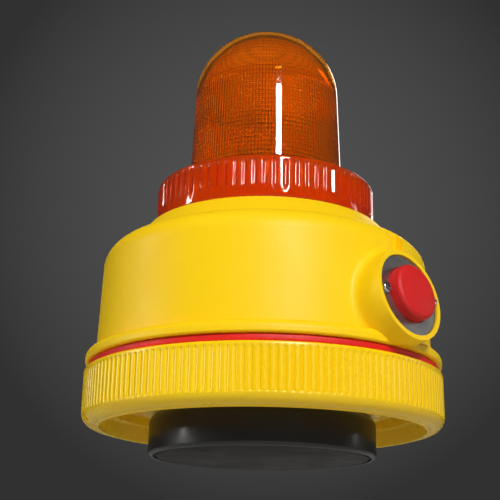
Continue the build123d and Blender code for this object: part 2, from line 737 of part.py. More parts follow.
# ---------------------------------------------------------------- lens
def dome_lens():
    """One-piece moulded lens: grip collar with an inner thread, deck and thin-walled dome."""
    outside = Polyline(
        (COLLAR_BORE_R, COLLAR_BOTTOM_Z),
        (COLLAR_R, COLLAR_BOTTOM_Z),
        (COLLAR_R, COLLAR_TOP_Z),
        (DOME_FOOT_R, DECK_TOP_Z),
        (DOME_TOP_R, DOME_SPRING_Z),
    )
    inside = Polyline(
        (DOME_TOP_R - LENS_WALL, DOME_SPRING_Z),
        (DOME_FOOT_R - LENS_WALL, DECK_TOP_Z - LENS_WALL),
        (COLLAR_BORE_R, COLLAR_TOP_Z - LENS_WALL),
        (COLLAR_BORE_R, COLLAR_BOTTOM_Z),
    )
    apex = Line((0, DOME_APEX_Z), (0, DOME_APEX_Z - LENS_WALL))
    section = make_face([*outside.edges(), dome_crown(0), apex, dome_crown(LENS_WALL), *inside.edges()])
    rounds = [
        ((COLLAR_R, COLLAR_TOP_Z), 1.0),
        ((COLLAR_R, COLLAR_BOTTOM_Z), 0.5),
        ((DOME_FOOT_R, DECK_TOP_Z), 1.2),
    ]
    crest_r = COLLAR_BORE_R - LENS_THREAD_DEPTH
    ridge = thread_ridge(COLLAR_BORE_R, crest_r, LENS_THREAD_Z + LENS_THREAD_PITCH / 2, 1.8, LENS_THREAD_PITCH)
    return turned_face(section, rounds) + ridge


def dome_crown(inset):
    """Nearly round quarter curve over the top of the dome, drawn in the (r, z) plane."""
    radius = DOME_TOP_R - inset
    height = DOME_APEX_Z - DOME_SPRING_Z - inset
    haunch = math.sqrt(0.5)
    points = [
        (radius, DOME_SPRING_Z),
        (radius * haunch, DOME_SPRING_Z + height * haunch),
        (0, DOME_SPRING_Z + height),
    ]
    return Spline(points, tangents=[(0, 1), (-1, 0)])


# ---------------------------------------------------------------- assembly
PARTS = {
    "base_cap": base_cap,
    "magnet_cup": magnet_cup,
    "magnet_disc": magnet_disc,
    "magnet_potting": magnet_potting,
    "magnet_screw": magnet_screw,
    "magnet_washer": magnet_washer,
    "contact_carrier": contact_carrier,
    "contact_ring": contact_ring,
    "carrier_screws": carrier_screws,
    "base_gasket": base_gasket,
    "housing": housing,
    "switch_plate": switch_plate,
    "switch_plate_screws": switch_plate_screws,
    "push_button": push_button,
    "switch_plunger": switch_plunger,
    "switch_body": switch_body,
    "switch_nut": switch_nut,
    "switch_terminals": switch_terminals,
    "cell_nub_up": cell_nub_up,
    "cell_nub_down": cell_nub_down,
    "battery_cradle": battery_cradle,
    "cradle_screws": cradle_screws,
    "top_contacts": top_contacts,
    "cell_springs": cell_springs,
    "circuit_board": circuit_board,
    "board_screws": board_screws,
    "main_capacitor": main_capacitor,
    "inverter_transformer": inverter_transformer,
    "trigger_transformer": trigger_transformer,
    "power_transistor": power_transistor,
    "resistors": resistors,
    "film_capacitor": film_capacitor,
    "lamp_plate": lamp_plate,
    "lamp_plate_screws": lamp_plate_screws,
    "tube_socket": tube_socket,
    "flash_tube": flash_tube,
    "trigger_band": trigger_band,
    "switch_leads": switch_leads,
    "battery_leads": battery_leads,
    "tube_leads": tube_leads,
    "lens_gasket": lens_gasket,
    "dome_lens": dome_lens,
}

os.makedirs("parts", exist_ok=True)
for name, make in PARTS.items():
    export_step(make(), f"parts/{name}.step")
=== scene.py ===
import math

import bmesh
import bpy
from mathutils import Matrix, Vector


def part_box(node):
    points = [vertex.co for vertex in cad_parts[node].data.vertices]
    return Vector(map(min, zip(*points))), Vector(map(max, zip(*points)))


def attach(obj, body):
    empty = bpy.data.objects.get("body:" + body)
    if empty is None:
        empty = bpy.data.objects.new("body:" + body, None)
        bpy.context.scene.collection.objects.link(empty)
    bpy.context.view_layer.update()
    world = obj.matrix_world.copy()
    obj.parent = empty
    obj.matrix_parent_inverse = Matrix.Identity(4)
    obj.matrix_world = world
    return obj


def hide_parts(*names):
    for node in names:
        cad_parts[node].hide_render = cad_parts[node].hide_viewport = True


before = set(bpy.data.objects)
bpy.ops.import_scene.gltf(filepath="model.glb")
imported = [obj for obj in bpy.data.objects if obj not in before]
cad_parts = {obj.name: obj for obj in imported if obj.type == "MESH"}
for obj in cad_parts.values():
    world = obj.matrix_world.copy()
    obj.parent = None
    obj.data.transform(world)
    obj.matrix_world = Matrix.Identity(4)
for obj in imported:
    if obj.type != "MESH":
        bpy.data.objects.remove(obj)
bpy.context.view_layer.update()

MM = 0.001
TURN = 2 * math.pi
NEAR = 1e-6
SMALL_ARC = 0.85 * MM

# ---------------------------------------------------------------- driving dimensions, metres
# Base cap
CAP_LOW, CAP_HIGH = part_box("base_cap")
CAP_R = CAP_HIGH.x
CAP_BOTTOM_Z = CAP_LOW.z
SPIGOT_TOP_Z = CAP_HIGH.z
CAP_TOP_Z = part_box("base_gasket")[0].z - 0.05 * MM
SPIGOT_R = CAP_R - 9.1 * MM
SPIGOT_BORE_R = SPIGOT_R - 2.8 * MM
CAP_LIP_R = CAP_R - 6.5 * MM
CAP_STEP_R = CAP_R - 9.3 * MM
CAP_SEAT_R = 43.0 * MM
CAP_SHELF_R = 45.5 * MM
CAP_SCREW_HOLE_R = 3.2 * MM
CAP_GROOVE_R = (59.2 * MM, 62.0 * MM)
CAP_GROOVE_Z = 17.0 * MM
MAGNET_TOP_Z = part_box("magnet_cup")[1].z
CAP_WEB_TOP_Z = MAGNET_TOP_Z + 3.0 * MM
CAP_CEILING_Z = CAP_WEB_TOP_Z + 2.0 * MM
CAP_LEDGE_Z = CAP_CEILING_Z + 3.0 * MM
CAP_STEP_Z = MAGNET_TOP_Z + 0.5 * MM
CAP_THREAD_PITCH = 5.0 * MM
CAP_THREAD_DEPTH = 1.45 * MM
CAP_THREAD_Z = 32.6 * MM
CAP_THREAD_TURNS = 0.85
GRIP_FLUTES = 160
GRIP_DEPTH = 0.50 * MM
GRIP_BOTTOM_Z = CAP_BOTTOM_Z + 3.8 * MM
GRIP_TOP_Z = CAP_TOP_Z - 1.4 * MM
NOTCH_ANGLE = -117.0
NOTCH_R = 1.9 * MM
NOTCH_DEPTH = 4.6 * MM

# Seal and magnet
GASKET_BORE_R = 58.0 * MM
CUP_WALL = 1.8 * MM
CUP_ROOF = 4.0 * MM
CUP_SCREW_HOLE_R = 3.06 * MM

# Lens
LENS_LOW, LENS_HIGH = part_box("dome_lens")
COLLAR_R = LENS_HIGH.x
COLLAR_BOTTOM_Z = LENS_LOW.z
COLLAR_TOP_Z = 101.0 * MM
DECK_TOP_Z = 103.0 * MM
COLLAR_BORE_R = COLLAR_R - 2.5 * MM
LENS_WALL = 2.2 * MM
DOME_FOOT_R = 29.7 * MM
DOME_TOP_R = 28.5 * MM
DOME_SPRING_Z = 143.0 * MM
DOME_APEX_Z = LENS_HIGH.z
LENS_THREAD_PITCH = 4.0 * MM
LENS_THREAD_DEPTH = 1.25 * MM
LENS_THREAD_Z = 89.5 * MM
LENS_THREAD_TURNS = 1.8
COLLAR_FLUTES = 72
COLLAR_FLUTE_DEPTH = 0.75 * MM
COLLAR_FLUTE_SHARE = 0.27
COLLAR_FLUTE_Z = (89.5 * MM, 99.6 * MM)
PRISM_FLUTES = 144
PRISM_PITCH = 1.75 * MM
PRISM_DEPTH = 0.55 * MM

# Switch boss
BOSS_TILT = math.radians(10.0)
BOSS_CENTRE = Vector((68.0, 0.0, 48.4)) * MM
BUTTON_R = 9.6 * MM
BUTTON_STANDOUT = 4.5 * MM
BUTTON_BORE_Z = 2.0 * MM
BUTTON_SKIRT_R = 7.8 * MM
BUTTON_RIM_R = 10.25 * MM
BUTTON_RIM_Z = -0.9 * MM
BUTTON_RIM_THICKNESS = 1.2 * MM

# Resistor bodies, from end to end
RESISTOR_Y = (-20.1 * MM, -13.9 * MM)

# Camera, seen from the object's axis
CAMERA_AZIMUTH = 45.8
CAMERA_DISTANCE = 0.366
CAMERA_Z = -0.0403
CAMERA_PITCH = 18.064
CAMERA_YAW = -0.881
CAMERA_ROLL = 1.028
CAMERA_LENS = 72.11

# Studio
FLOOR_Z = -0.12
FLOOR_R = 2.5
GLOW_RISE = 20.0
GLOW_SPREAD = 17.0


# ---------------------------------------------------------------- mesh helpers
def rounded(corners, steps=6):
    """Outline through (r, z, radius) corners, each turned by an arc; small arcs get two steps."""
    points = []
    for i, (r, z, radius) in enumerate(corners):
        here = Vector((r, z))
        if radius == 0:
            points.append(here)
            continue
        back = (Vector(corners[i - 1][:2]) - here).normalized()
        ahead = (Vector(corners[(i + 1) % len(corners)][:2]) - here).normalized()
        half = back.angle(ahead) / 2
        centre = here + (back + ahead).normalized() * (radius / math.sin(half))
        reach = radius / math.tan(half)
        start = (here + back * reach - centre).normalized()
        end = (here + ahead * reach - centre).normalized()
        count = steps if radius > SMALL_ARC else 2
        points += [centre + start.slerp(end, k / count) * radius for k in range(count + 1)]
    return points


def spread(start, end, count):
    """Evenly spaced points strictly between two (r, z) points."""
    return [Vector(start).lerp(Vector(end), k / (count + 1)) for k in range(1, count + 1)]


def turned(name, outline, segments, radius_at=None):
    """Closed mesh of an (r, z) outline turned about Z; radius_at(angle, r, z) reshapes each point."""
    mesh = bmesh.new()
    rings = []
    for r, z in outline:
        if r < NEAR:
            rings.append([mesh.verts.new((0, 0, z))])
            continue
        ring = []
        for k in range(segments):
            angle = TURN * k / segments
            rr = radius_at(angle, r, z) if radius_at else r
            ring.append(mesh.verts.new((rr * math.cos(angle), rr * math.sin(angle), z)))
        rings.append(ring)
    for ring, after in zip(rings, rings[1:] + rings[:1]):
        if len(ring) == 1 and len(after) == 1:
            continue
        for k in range(segments):
            n = (k + 1) % segments
            if len(ring) == 1:
                mesh.faces.new((ring[0], after[n], after[k]))
            elif len(after) == 1:
                mesh.faces.new((ring[k], ring[n], after[0]))
            else:
                mesh.faces.new((ring[k], ring[n], after[n], after[k]))
    bmesh.ops.recalc_face_normals(mesh, faces=mesh.faces)
    return as_object(name, mesh)


def as_object(name, mesh, sharp=35.0):
    """Scene object holding the finished mesh."""
    data = bpy.data.meshes.new(name)
    mesh.to_mesh(data)
    mesh.free()
    made = bpy.data.objects.new(name, data)
    bpy.context.scene.collection.objects.link(made)
    soften(made, sharp)
    return made


def soften(piece, sharp):
    """Smooth shading, with edges sharper than the given angle kept crisp."""
    piece.data.polygons.foreach_set("use_smooth", [True] * len(piece.data.polygons))
    piece.data.set_sharp_from_angle(angle=math.radians(sharp))


def cut(piece, tool, sharp=35.0):
    """Takes the tool's shape out of the piece and throws the tool away."""
    modifier = piece.modifiers.new("cut", "BOOLEAN")
    modifier.operation = "DIFFERENCE"
    modifier.object = tool
    modifier.solver = "EXACT"
    bpy.context.view_layer.update()
    result = bpy.data.meshes.new_from_object(piece.evaluated_get(bpy.context.evaluated_depsgraph_get()))
    piece.modifiers.clear()
    piece.data = result
    bpy.data.objects.remove(tool)
    soften(piece, sharp)


def trapezoid(distance, tip, foot):
    """1 up to tip, falling to 0 at foot."""
    return min(1.0, max(0.0, (foot - abs(distance)) / (foot - tip)))


def thread_height(angle, z, start_z, turns, pitch):
    """Height, 0 to 1, of one helical ridge at a point of the wall it stands on."""
    height = 0.0
    for lap in range(math.ceil(turns) + 1):
        along = angle / TURN + lap
        if along > turns:
            continue
        ends = min(1.0, along * 12, (turns - along) * 12)
        height = max(height, ends * trapezoid(z - start_z - pitch * along, 0.11 * pitch, 0.20 * pitch))
    return height


# ---------------------------------------------------------------- material helpers
def srgb(*values):
    """Linear colour from 0-255 display values."""
    linear = [(v / 255 / 12.92) if v / 255 <= 0.04045 else ((v / 255 + 0.055) / 1.055) ** 2.4 for v in values]
    return (*linear, 1.0)


class Look:
    """A Principled material with helpers for the texture nodes that drive it."""

    def __init__(self, name, colour, **sockets):
        self.material = bpy.data.materials.new(name)
        self.material.use_nodes = True
        self.tree = self.material.node_tree
        self.shader = self.tree.nodes["Principled BSDF"]
        self.colour = colour
        self.set("Base Color", colour)
        self.material.diffuse_color = colour
        for socket, value in sockets.items():
            self.set(socket.replace("_", " "), value)
        self.place = self.add("ShaderNodeTexCoord").outputs["Object"]

    def add(self, kind, **settings):
        node = self.tree.nodes.new(kind)
        for key, value in settings.items():
            setattr(node, key, value)
        return node

    def set(self, socket, value):
        self.shader.inputs[socket].default_value = value

    def link(self, output, socket):
        self.tree.links.new(output, self.shader.inputs[socket] if isinstance(socket, str) else socket)

    def mapped(self, stretch, turn=(0, 0, 0)):
        mapping = self.add("ShaderNodeMapping")
        mapping.inputs["Scale"].default_value = stretch
        mapping.inputs["Rotation"].default_value = turn
        self.link(self.place, mapping.inputs["Vector"])
        return mapping.outputs["Vector"]

    def noise(self, scale, detail=3.0, roughness=0.5, stretch=None, turn=(0, 0, 0)):
        node = self.add("ShaderNodeTexNoise")
        node.inputs["Scale"].default_value = scale
        node.inputs["Detail"].default_value = detail
        node.inputs["Roughness"].default_value = roughness
        self.link(self.mapped(stretch, turn) if stretch else self.place, node.inputs["Vector"])
        return node.outputs["Fac"]

    def cells(self, scale):
        node = self.add("ShaderNodeTexVoronoi")
        node.inputs["Scale"].default_value = scale
        self.link(self.place, node.inputs["Vector"])
        return node.outputs["Distance"]

    def span(self, value, low, high, to_low=0.0, to_high=1.0):
        node = self.add("ShaderNodeMapRange")
        self.link(value, node.inputs["Value"])
        for key, number in zip(("From Min", "From Max", "To Min", "To Max"), (low, high, to_low, to_high)):
            node.inputs[key].default_value = number
        return node.outputs["Result"]

    def mix(self, factor, a, b):
        node = self.add("ShaderNodeMix", data_type="RGBA")
        self.link(factor, node.inputs["Factor"])
        for socket, value in ((node.inputs["A"], a), (node.inputs["B"], b)):
            if isinstance(value, tuple):
                socket.default_value = value
            else:
                self.link(value, socket)
        return node.outputs["Result"]

    def maths(self, operation, a, b):
        node = self.add("ShaderNodeMath", operation=operation)
        for socket, value in zip(node.inputs, (a, b)):
            if isinstance(value, (int, float)):
                socket.default_value = value
            else:
                self.link(value, socket)
        return node.outputs["Value"]

    def axis(self, letter):
        node = self.add("ShaderNodeSeparateXYZ")
        self.link(self.place, node.inputs["Vector"])
        return node.outputs[letter]

    def joint_line(self, steps):
        """1 at each whole number, falling away to 0 between them."""
        middle = self.maths("ABSOLUTE", self.maths("SUBTRACT", self.maths("FRACT", steps, 0), 0.5), 0)
        return self.span(middle, 0.22, 0.5)

    def mottle(self, scale, amount, other):
        """Base colour drifting towards another colour in soft patches."""
        patches = self.span(self.noise(scale, 4.0), 0.3, 0.7, 0.0, amount)
        self.link(self.mix(patches, self.colour, other), "Base Color")

    def worn(self, scale, low, high):
        """Roughness that drifts between two values."""
        self.link(self.span(self.noise(scale, 5.0, 0.6), 0.3, 0.7, low, high), "Roughness")

    def bump(self, *layers):
        """Bump layers of (height output, strength, depth in metres), each on top of the last."""
        normal = None
        for height, strength, depth in layers:
            node = self.add("ShaderNodeBump")
            node.inputs["Strength"].default_value = strength
            node.inputs["Distance"].default_value = depth
            self.link(height, node.inputs["Height"])
            if normal is not None:
                self.link(normal, node.inputs["Normal"])
            normal = node.outputs["Normal"]
        self.link(normal, "Normal")


def moulded(name, colour, other, rough=(0.30, 0.42), grain=0.06, **sockets):
    """Injection-moulded plastic: soft colour drift, uneven gloss and a fine moulded grain."""
    look = Look(name, colour, **sockets)
    look.mottle(26.0, 0.5, other)
    look.worn(55.0, *rough)
    look.bump((look.noise(1900.0, 2.0), grain, 0.0002), (look.noise(38.0, 2.0), 0.02, 0.0005))
    return look.material


def metal(name, colour, rough, stretch, turn=(0, 0, 0), strength=0.12):
    """Bare or plated metal with directional brush marks and faint tarnish."""
    look = Look(name, colour, Metallic=1.0)
    look.mottle(180.0, 0.35, tuple(0.72 * c for c in colour[:3]) + (1.0,))
    brushed = look.noise(900.0, 4.0, 0.65, stretch, turn)
    look.link(look.span(brushed, 0.3, 0.7, *rough), "Roughness")
    look.bump((brushed, strength, 0.00006))
    return look.material


# ---------------------------------------------------------------- materials
YELLOW_BASE = srgb(254, 212, 10)
YELLOW_DEEP = srgb(252, 200, 6)


def lens_look(name, colour, other, transmission, rough, prism_shade_colour=None):
    """Clear tinted plastic; the last argument is a painted shade colour laid along the joints of the inner
    prisms, which leaves the prism centres as painted glints.
    """
    look = Look(name, colour, Transmission_Weight=transmission, IOR=1.5)
    look.mottle(60.0, 0.6, other)
    if prism_shade_colour:
        # Painted shade along the inner prism joints, stronger below the crown; the lighter prism centres
        # between them are painted glints.
        bearing = look.maths("ARCTAN2", look.axis("Y"), look.axis("X"))
        turns = look.maths("MULTIPLY", bearing, PRISM_FLUTES / TURN)
        laps = look.maths("MULTIPLY", look.axis("Z"), 1 / PRISM_PITCH)
        upright = look.maths("MULTIPLY", look.joint_line(turns), 0.8)
        prism_joint_shade = look.maths("MAXIMUM", upright, look.joint_line(laps))
        below_crown = look.span(look.axis("Z"), DOME_SPRING_Z, DOME_SPRING_Z + 3 * MM, 0.9, 0.5)
        base = look.shader.inputs["Base Color"].links[0].from_socket
        look.link(look.mix(look.maths("MULTIPLY", prism_joint_shade, below_crown), base, prism_shade_colour), "Base Color")
    look.worn(90.0, *rough)
    look.bump((look.noise(160.0, 2.0), 0.03, 0.0006))
    return look.material


def black_coat():
    look = Look("black_coat_look", srgb(17, 18, 20), Coat_Weight=0.25, Coat_Roughness=0.18)
    look.mottle(60.0, 0.7, srgb(26, 28, 31))
    look.worn(70.0, 0.34, 0.46)
    look.bump((look.noise(700.0, 3.0), 0.12, 0.0002), (look.noise(3200.0, 1.0), 0.05, 0.0001))
    return look.material


def ferrite():
    """Ground magnet face: dark grey ceramic with faint turning rings and fine speckle."""
    look = Look("ferrite_look", srgb(58, 57, 52), Specular_IOR_Level=0.14)
    speckle = look.span(look.noise(2600.0, 2.0), 0.42, 0.62, 0.0, 0.8)
    patches = look.mix(look.span(look.noise(45.0, 4.0), 0.3, 0.7), srgb(30, 29, 26), srgb(42, 40, 35))
    look.link(look.mix(speckle, patches, srgb(26, 25, 23)), "Base Color")
    look.worn(60.0, 0.42, 0.6)
    rings = look.add("ShaderNodeTexWave", wave_type="RINGS", rings_direction="Z")
    rings.inputs["Scale"].default_value = 420.0
    rings.inputs["Distortion"].default_value = 1.5
    look.link(look.place, rings.inputs["Vector"])
    look.bump((rings.outputs["Fac"], 0.06, 0.0001), (look.noise(1500.0, 3.0), 0.1, 0.0001))
    return look.material


def potting():
    look = Look("potting_look", srgb(9, 9, 9))
    look.mottle(90.0, 0.8, srgb(18, 17, 16))
    look.worn(60.0, 0.55, 0.75)
    look.bump((look.noise(260.0, 3.0), 0.4, 0.0004))
    return look.material


def rubber(name, colour, other):
    look = Look(name, colour, Subsurface_Weight=0.05, Subsurface_Radius=(1.0, 0.1, 0.05),
                Subsurface_Scale=0.001)
    look.mottle(70.0, 0.6, other)
    look.worn(120.0, 0.45, 0.62)
    look.bump((look.noise(1300.0, 2.0), 0.12, 0.0002), (look.noise(240.0, 3.0), 0.08, 0.0004))
    return look.material


def button_red():
    """Moulded button cap with a fine spark-eroded grain."""
    look = Look("button_look", srgb(214, 20, 18), Subsurface_Weight=0.08, Subsurface_Radius=(1.0, 0.1, 0.05),
                Subsurface_Scale=0.001)
    look.mottle(90.0, 0.6, srgb(196, 14, 14))
    look.worn(140.0, 0.5, 0.62)
    look.bump((look.cells(2600.0), 0.35, 0.00012), (look.noise(900.0, 3.0), 0.2, 0.00015))
    return look.material


def cell_wrap(name, low, high, plus_up):
    """Cell jacket: dark shrink sleeve, a lighter band at the positive end and bare metal ends."""
    look = Look(name, srgb(38, 42, 48), Coat_Weight=0.4)
    z = look.axis("Z")
    up = look.span(z, low, high) if plus_up else look.span(z, low, high, 1.0, 0.0)
    band = look.maths("GREATER_THAN", up, 0.76)
    jacket = look.mix(look.span(look.noise(60.0, 3.0), 0.3, 0.7), srgb(34, 38, 44), srgb(44, 48, 55))
    banded = look.mix(band, jacket, srgb(176, 122, 62))
    ends = look.maths("ADD", look.maths("GREATER_THAN", up, 0.965), look.maths("LESS_THAN", up, 0.012))
    look.link(look.mix(ends, banded, srgb(196, 196, 194)), "Base Color")
    look.link(ends, "Metallic")
    look.worn(200.0, 0.22, 0.36)
    look.bump((look.noise(300.0, 3.0), 0.08, 0.0003))
    return look.material


def board_green():
    """Solder mask over faint copper tracks."""
    look = Look("board_look", srgb(18, 82, 44), Coat_Weight=0.3)
    node = look.add("ShaderNodeTexVoronoi", distance="CHEBYCHEV", feature="F2")
    node.inputs["Scale"].default_value = 190.0
    look.link(look.place, node.inputs["Vector"])
    track = look.span(node.outputs["Distance"], 0.52, 0.56)
    weave = look.mix(look.span(look.noise(1400.0, 2.0), 0.3, 0.7), srgb(16, 76, 40), srgb(22, 92, 50))
    look.link(look.mix(track, weave, srgb(38, 112, 58)), "Base Color")
    look.worn(300.0, 0.28, 0.4)
    look.bump((track, 0.3, 0.0001))
    return look.material


def capacitor_black():
    """Sleeved can with a pale polarity stripe and a bare aluminium top."""
    low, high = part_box("main_capacitor")
    look = Look("capacitor_look", srgb(20, 21, 24))
    stripe = look.maths("GREATER_THAN", look.axis("Y"), high.y - 2.6 * MM)
    top = look.maths("GREATER_THAN", look.axis("Z"), high.z - 0.7 * MM)
    sleeve = look.mix(look.span(look.noise(90.0, 3.0), 0.3, 0.7), srgb(18, 19, 22), srgb(28, 29, 33))
    striped = look.mix(stripe, sleeve, srgb(150, 152, 156))
    look.link(look.mix(top, striped, srgb(190, 192, 194)), "Base Color")
    look.link(top, "Metallic")
    look.worn(240.0, 0.3, 0.42)
    look.bump((look.noise(260.0, 2.0), 0.08, 0.0003))
    return look.material


def winding():
    """Enamelled copper wire wound in close turns."""
    look = Look("winding_look", srgb(150, 74, 30), Metallic=0.6)
    wave = look.add("ShaderNodeTexWave", wave_type="BANDS", bands_direction="X", wave_profile="SIN")
    wave.inputs["Scale"].default_value = 900.0
    wave.inputs["Distortion"].default_value = 0.6
    look.link(look.place, wave.inputs["Vector"])
    look.link(look.mix(wave.outputs["Fac"], srgb(104, 48, 20), srgb(186, 98, 44)), "Base Color")
    look.worn(300.0, 0.28, 0.42)
    look.bump((wave.outputs["Fac"], 0.6, 0.0002))
    return look.material


def resistor_tan():
    """Tan bodies with colour bands, and bare legs past the ends of the body."""
    look = Look("resistor_look", srgb(196, 164, 112))
    along = look.span(look.axis("Y"), *RESISTOR_Y)
    ramp = look.add("ShaderNodeValToRGB")
    ramp.color_ramp.interpolation = "CONSTANT"
    tan, leg = srgb(196, 164, 112), srgb(170, 170, 168)
    bands = (srgb(150, 30, 22), srgb(60, 26, 14), srgb(214, 120, 20), srgb(170, 130, 40))
    ramp.color_ramp.elements[0].color = leg
    ramp.color_ramp.elements[1].position = 0.995
    ramp.color_ramp.elements[1].color = leg
    stops = [(0.005, tan)]
    for place, band in zip((0.16, 0.34, 0.52, 0.80), bands):
        stops += [(place, band), (place + 0.08, tan)]
    for place, colour in stops:
        ramp.color_ramp.elements.new(place).color = colour
    look.link(along, ramp.inputs["Fac"])
    look.link(ramp.outputs["Color"], "Base Color")
    look.worn(300.0, 0.35, 0.5)
    look.bump((look.noise(900.0, 2.0), 0.1, 0.0001))
    return look.material


def tube_glass():
    look = Look("tube_glass_look", srgb(236, 240, 242), Transmission_Weight=0.9, IOR=1.47)
    look.mottle(120.0, 0.4, srgb(214, 220, 224))
    look.worn(120.0, 0.02, 0.07)
    look.bump((look.noise(260.0, 2.0), 0.03, 0.0004))
    return look.material


def lead(name, colour, other):
    look = Look(name, colour)
    look.mottle(120.0, 0.7, other)
    look.worn(260.0, 0.36, 0.5)
    look.bump((look.noise(700.0, 2.0), 0.12, 0.0002))
    return look.material


def looks():
    """The finish of each material slot."""
    return {
        "cap_yellow": moulded("cap_look", YELLOW_BASE, YELLOW_DEEP, (0.24, 0.34), 0.02,
                              Specular_IOR_Level=0.45),
        "housing_yellow": moulded("housing_look", YELLOW_BASE, YELLOW_DEEP, (0.42, 0.52), 0.04,
                                  Specular_IOR_Level=0.28),
        "black_coat": black_coat(),
        "ferrite": ferrite(),
        "potting": potting(),
        "steel": metal("steel_look", srgb(196, 197, 200), (0.22, 0.34), (1, 1, 0.2)),
        "plate_steel": metal("plate_look", srgb(168, 167, 166), (0.34, 0.5), (1, 0.05, 1),
                             (0, -BOSS_TILT, 0), 0.2),
        "plated_steel": metal("plated_look", srgb(222, 222, 220), (0.10, 0.2), (1, 1, 1), strength=0.05),
        "brass": metal("brass_look", srgb(214, 178, 92), (0.2, 0.34), (1, 1, 0.2)),
        "black_plastic": moulded("black_plastic_look", srgb(24, 24, 26), srgb(34, 34, 36), (0.38, 0.5)),
        "grey_plastic": moulded("grey_plastic_look", srgb(120, 122, 124), srgb(108, 110, 114), (0.38, 0.52)),
        "white_plastic": moulded("white_plastic_look", srgb(226, 226, 220), srgb(212, 210, 202),
                                 (0.34, 0.46)),
        "red_rubber": rubber("gasket_look", srgb(232, 24, 14), srgb(206, 16, 10)),
        "button_red": button_red(),
        "board_green": board_green(),
        "capacitor_black": capacitor_black(),
        "winding": winding(),
        "resistor_tan": resistor_tan(),
        "film_brown": moulded("film_look", srgb(132, 62, 26), srgb(112, 50, 20), (0.22, 0.34)),
        "ceramic_white": moulded("ceramic_look", srgb(236, 234, 226), srgb(224, 220, 208), (0.5, 0.66), 0.12),
        "tube_glass": tube_glass(),
        "lead_red": lead("lead_red_look", srgb(180, 22, 18), srgb(150, 16, 14)),
        "lead_black": lead("lead_black_look", srgb(24, 24, 25), srgb(36, 36, 38)),
        "lead_white": lead("lead_white_look", srgb(222, 220, 212), srgb(200, 198, 188)),
        # The dome's last colour is painted shade for the inner prism joints, around painted glints.
        "lens_amber": lens_look("dome_look", srgb(255, 168, 24), srgb(252, 152, 14), 0.90, (0.02, 0.05),
                                srgb(168, 44, 0)),
    }


# ---------------------------------------------------------------- base cap
def cap_outline():
    """Closed (r, z) outline of the cap: lip, wall, groove, spigot, web and stepped underside."""
    groove_in, groove_out = CAP_GROOVE_R
    outline = rounded([
        (CAP_LIP_R, CAP_STEP_Z, 0.3 * MM),
        (CAP_LIP_R, CAP_BOTTOM_Z, 0.35 * MM),
        (CAP_LIP_R + 0.9 * MM, CAP_BOTTOM_Z, 0.3 * MM),
        (CAP_LIP_R + 1.3 * MM, CAP_BOTTOM_Z + 0.5 * MM, 0.2 * MM),
        (CAP_R, CAP_BOTTOM_Z + 0.5 * MM, 4.2 * MM),
        (CAP_R, CAP_TOP_Z, 0.6 * MM),
        (groove_out, CAP_TOP_Z, 0.3 * MM),
        (groove_out, CAP_GROOVE_Z, 0.8 * MM),
        (groove_in, CAP_GROOVE_Z, 0.8 * MM),
        (groove_in, CAP_TOP_Z, 0.3 * MM),
        (SPIGOT_R, CAP_TOP_Z, 0.3 * MM),
        (SPIGOT_R, SPIGOT_TOP_Z, 0.5 * MM),
        (SPIGOT_BORE_R, SPIGOT_TOP_Z, 0.5 * MM),
        (SPIGOT_BORE_R, CAP_LEDGE_Z, 2.0 * MM),
        (CAP_SHELF_R, CAP_LEDGE_Z, 0.4 * MM),
        (CAP_SHELF_R, CAP_WEB_TOP_Z, 0.4 * MM),
        (CAP_SCREW_HOLE_R, CAP_WEB_TOP_Z, 0),
        (CAP_SCREW_HOLE_R, MAGNET_TOP_Z, 0),
        (CAP_SEAT_R, MAGNET_TOP_Z, 0.4 * MM),
        (CAP_SEAT_R, CAP_CEILING_Z, 0.6 * MM),
        (CAP_STEP_R, CAP_CEILING_Z, 1.5 * MM),
        (CAP_STEP_R, CAP_STEP_Z, 0.3 * MM),
    ], steps=5)
    return densify(outline)


def densify(outline):
    """Adds rows where the grip flutes and the thread need them."""
    grip_rows = [GRIP_BOTTOM_Z + step * MM for step in (0, 0.12, 0.3, 0.6, 1.1, 1.8)]
    grip_rows += [GRIP_BOTTOM_Z + 5 * MM, GRIP_BOTTOM_Z + 9 * MM]
    grip_rows += [GRIP_TOP_Z - step * MM for step in (1.8, 1.1, 0.6, 0.3, 0.12, 0)]
    thread_rows = [CAP_THREAD_Z - 1.2 * MM + step * 0.5 * MM for step in range(13)]
    rows = []
    for here, after in zip(outline, outline[1:] + outline[:1]):
        rows.append(here)
        wall = here.x > CAP_R - 1.0 * MM and after.x > CAP_R - 1.0 * MM
        spigot = abs(here.x - SPIGOT_R) < NEAR and abs(after.x - SPIGOT_R) < NEAR
        for z in (grip_rows if wall else thread_rows if spigot else ()):
            if here.y + NEAR < z < after.y - NEAR:
                rows.append(here.lerp(after, (z - here.y) / (after.y - here.y)))
    return rows


def grip_weight(z):
    """0 outside the grip band, 1 within it, with short rounded ends."""
    inside = min(z - GRIP_BOTTOM_Z, GRIP_TOP_Z - z)
    if inside <= 0:
        return 0.0
    return math.sqrt(1 - (1 - min(1.0, inside / (1.1 * MM))) ** 2)


def cap_radius(angle, r, z):
    """Grip flutes on the wall and the thread ridge on the spigot."""
    if r > CAP_R - 1.0 * MM:
        flute = (angle * GRIP_FLUTES / TURN) % 1.0
        groove = max(0.0, 1 - min(flute, 1 - flute) / 0.30)
        return r - GRIP_DEPTH * groove ** 1.3 * grip_weight(z)
    if abs(r - SPIGOT_R) < NEAR:
        height = thread_height(angle, z, CAP_THREAD_Z, CAP_THREAD_TURNS, CAP_THREAD_PITCH)
        return r + CAP_THREAD_DEPTH * height
    return r


